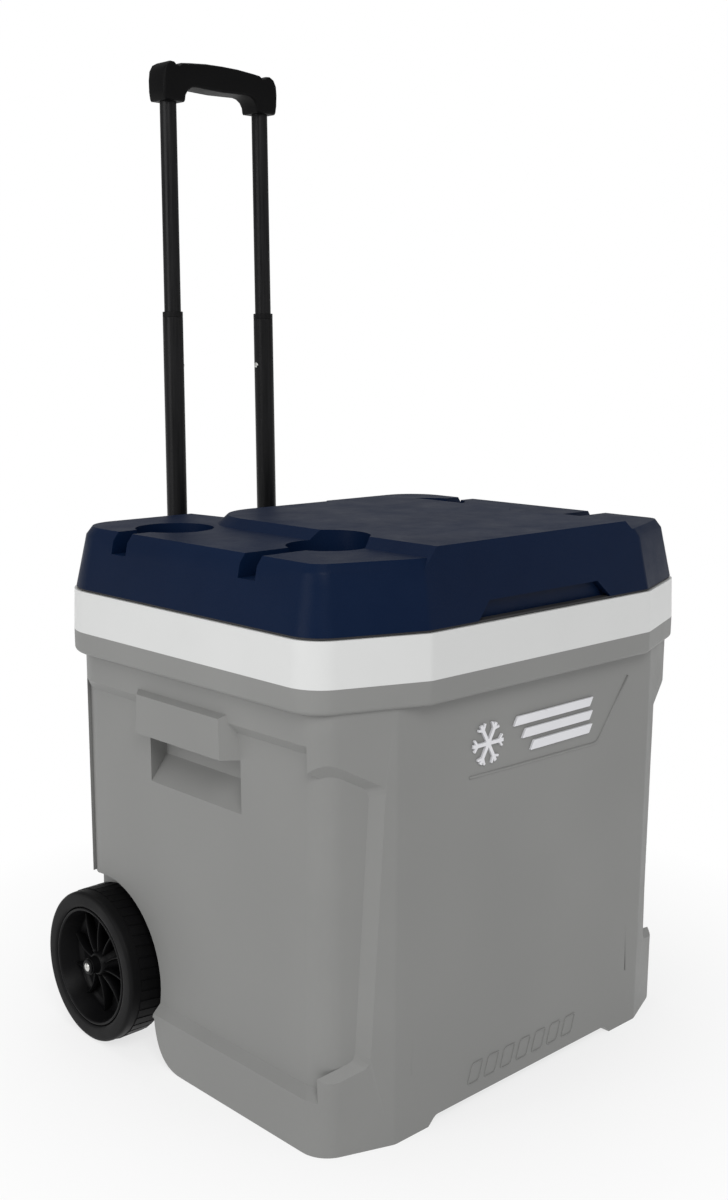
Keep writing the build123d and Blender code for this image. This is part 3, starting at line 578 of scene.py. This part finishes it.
# ---- pull handle --------------------------------------------------------------------------------
def grip():
    """The moulded grip: crowned bar, domed ends with a dip beside each, and a boss over each leg."""
    low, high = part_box("grip_core")
    depth, middle_y = high.y - low.y, (high.y + low.y) / 2
    end, top, foot = high.x, high.z, low.z
    crown = [(0.0, top), (0.022, top - 0.0004), (0.044, top - 0.0022), (0.0545, top - 0.0034)]
    dip_and_ear = [(0.0580, top - 0.0062), (0.0612, top - 0.0056), (0.0640, top - 0.0032),
                   (0.0690, top - 0.0028), (0.0745, top - 0.0058), (0.0782, top - 0.0125), (end, top - 0.022)]
    boss = [(end - 0.0004, foot + 0.010), (end - 0.0018, foot + 0.002), (end - 0.0032, foot),
            (0.0512, foot), (0.0500, foot + 0.002), (0.0492, foot + 0.0075)]
    palm = [(0.0462, foot + 0.0125), (0.0410, foot + 0.0160), (0.0350, foot + 0.0172),
            (0.018, foot + 0.0166), (0.0, foot + 0.0160)]
    right = crown + dip_and_ear + boss + palm
    outline = right + [(-x, z) for x, z in right[-2:0:-1]]
    shape = bmesh.new()
    front = [shape.verts.new((x, middle_y - depth / 2, z)) for x, z in outline]
    face = shape.faces.new(front)
    swept = bmesh.ops.extrude_face_region(shape, geom=[face])
    back = [v for v in swept["geom"] if isinstance(v, bmesh.types.BMVert)]
    bmesh.ops.translate(shape, verts=back, vec=(0, depth, 0))
    piece = from_bmesh("pull_grip", shape)
    bevel(piece, GRIP_EDGE_R, 6, 60)
    finish_mesh(piece)
    paint(piece, SOFT_GRIP)
    shading = piece.modifiers.new("shading", "NODES")
    shading.node_group = SOFT
    set_input(shading, "Angle", radians(50))
    finish_mesh(piece)
    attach(piece, "handle_inner")
    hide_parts("grip_core", "grip_cover")


# ---- fixings ------------------------------------------------------------------------------------
def screw_head(radius):
    """A pan head with a cross recess, its axis along +Y."""
    shape = bmesh.new()
    angles = [2 * pi * n / HEAD_STEPS for n in range(HEAD_STEPS)]
    dome = [(radius, 0.0), (radius, 0.0007), (radius * 0.86, 0.0014), (radius * 0.55, HEAD_HEIGHT),
            (radius * 0.3, HEAD_HEIGHT)]
    rings = [[(wide, y)] * HEAD_STEPS for wide, y in dome]
    arms = [abs(cos(2 * angle)) for angle in angles]
    rings.append([(radius * (0.10 + 0.18 * arm), HEAD_HEIGHT - 0.0011 * (0.25 + 0.75 * arm)) for arm in arms])
    rings = [[shape.verts.new((wide * cos(angle), y, wide * sin(angle)))
              for angle, (wide, y) in zip(angles, ring)] for ring in rings]
    for here, there in zip(rings, rings[1:]):
        for n in range(HEAD_STEPS):
            after = (n + 1) % HEAD_STEPS
            shape.faces.new((here[n], here[after], there[after], there[n]))
    shape.faces.new(rings[-1])
    shape.faces.new(rings[0])
    return from_bmesh("screw_head", shape)


def islands(node):
    """The low and high corners of each separate solid in a node."""
    shape = bmesh.new()
    shape.from_mesh(nodes[node].data)
    bmesh.ops.remove_doubles(shape, verts=shape.verts, dist=2e-5)
    left, found = set(shape.verts), []
    while left:
        stack, group = [left.pop()], []
        while stack:
            vert = stack.pop()
            group.append(vert.co.copy())
            for edge in vert.link_edges:
                other = edge.other_vert(vert)
                if other in left:
                    left.remove(other)
                    stack.append(other)
        low = Vector([min(p[k] for p in group) for k in range(3)])
        high = Vector([max(p[k] for p in group) for k in range(3)])
        found.append((low, high))
    shape.free()
    return sorted(found, key=lambda pair: tuple(round(c, 4) for c in pair[0]))


def screws(node, body):
    """A detailed head in place of each of a node's plain screws."""
    heads = []
    for low, high in islands(node):
        radius = (high.x - low.x) / 2
        head = repeated(screw_head(radius), count=1, finish=STEEL)
        move(head, (low.x + high.x) / 2, high.y - HEAD_HEIGHT, (low.z + high.z) / 2)
        heads.append(head)
    piece = join(node + "_heads", heads)
    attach(piece, body)
    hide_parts(node)


# ---- raised lines on the front wall -------------------------------------------------------------
def front_wall(x, z):
    """A point on the tub's drafted front wall."""
    inset = WALL_INSET + (WALL_TOP - z) * WALL_DRAFT
    return Vector((x, shell_low.y + inset, z))


def ridge(name, path, width=0.0016, height=0.0009, closed=False):
    """A low rounded ridge along a path on the front wall."""
    shape = bmesh.new()
    rings = []
    count = len(path)
    for n, (x, z) in enumerate(path):
        before = Vector(path[n - 1]) if closed or n else Vector(path[n])
        after = Vector(path[(n + 1) % count]) if closed or n < count - 1 else Vector(path[n])
        along = (after - before).normalized()
        across = Vector((-along.y, along.x))
        here = front_wall(x, z)
        section = ((-0.5, -0.0006), (-0.5, height * 0.45), (-0.2, height), (0.2, height),
                   (0.5, height * 0.45), (0.5, -0.0006))
        offsets = [Vector((across.x * width * share, -lift, across.y * width * share))
                   for share, lift in section]
        rings.append([shape.verts.new(here + offset) for offset in offsets])
    pairs = list(zip(rings, rings[1:])) + ([(rings[-1], rings[0])] if closed else [])
    for here, there in pairs:
        for k in range(6):
            shape.faces.new((here[k], here[(k + 1) % 6], there[(k + 1) % 6], there[k]))
    if not closed:
        shape.faces.new(rings[0])
        shape.faces.new(rings[-1])
    piece = from_bmesh(name, shape)
    paint(piece, GREY)
    return piece


def front_lines():
    """The nameplate's stepped border and a row of slanted outlines low on the front wall."""
    foot_line = [(-0.088, 0.3045), (-0.04, 0.3037), (0.04, 0.3027), (0.088, 0.302)]
    border = foot_line + [(0.0935, 0.3032), (0.0975, 0.3070), (0.118, 0.333), (0.1395, 0.3605)]
    frame_line = ridge("nameplate_border", border, width=0.0026, height=0.0011)
    bars = []
    for n in range(BAR_COUNT):
        x, z = -0.080 + n * BAR_PITCH, 0.020
        end, top, lean = x + BAR_WIDTH, z + BAR_HEIGHT, BAR_LEAN
        corners = rounded([(x, z), (end, z), (end + lean, top), (x + lean, top)], 0.003, 3)
        bars.append(ridge("bar", corners, width=0.0014, height=0.0008, closed=True))
    low_bars = join("slanted_outlines", bars)
    for piece in (frame_line, low_bars):
        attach(piece, "root")


camera()
studio()
floor()
finish_cad_nodes()
for name, side in SIDES:
    wheel(name, side)
    axle_end(name, side)
grip()
for node, body in (("bracket_screws", "root"), ("hinge_screws_tub", "root"), ("hinge_screws_lid", "lid"),
                   ("grip_screws", "handle_inner")):
    screws(node, body)
front_lines()
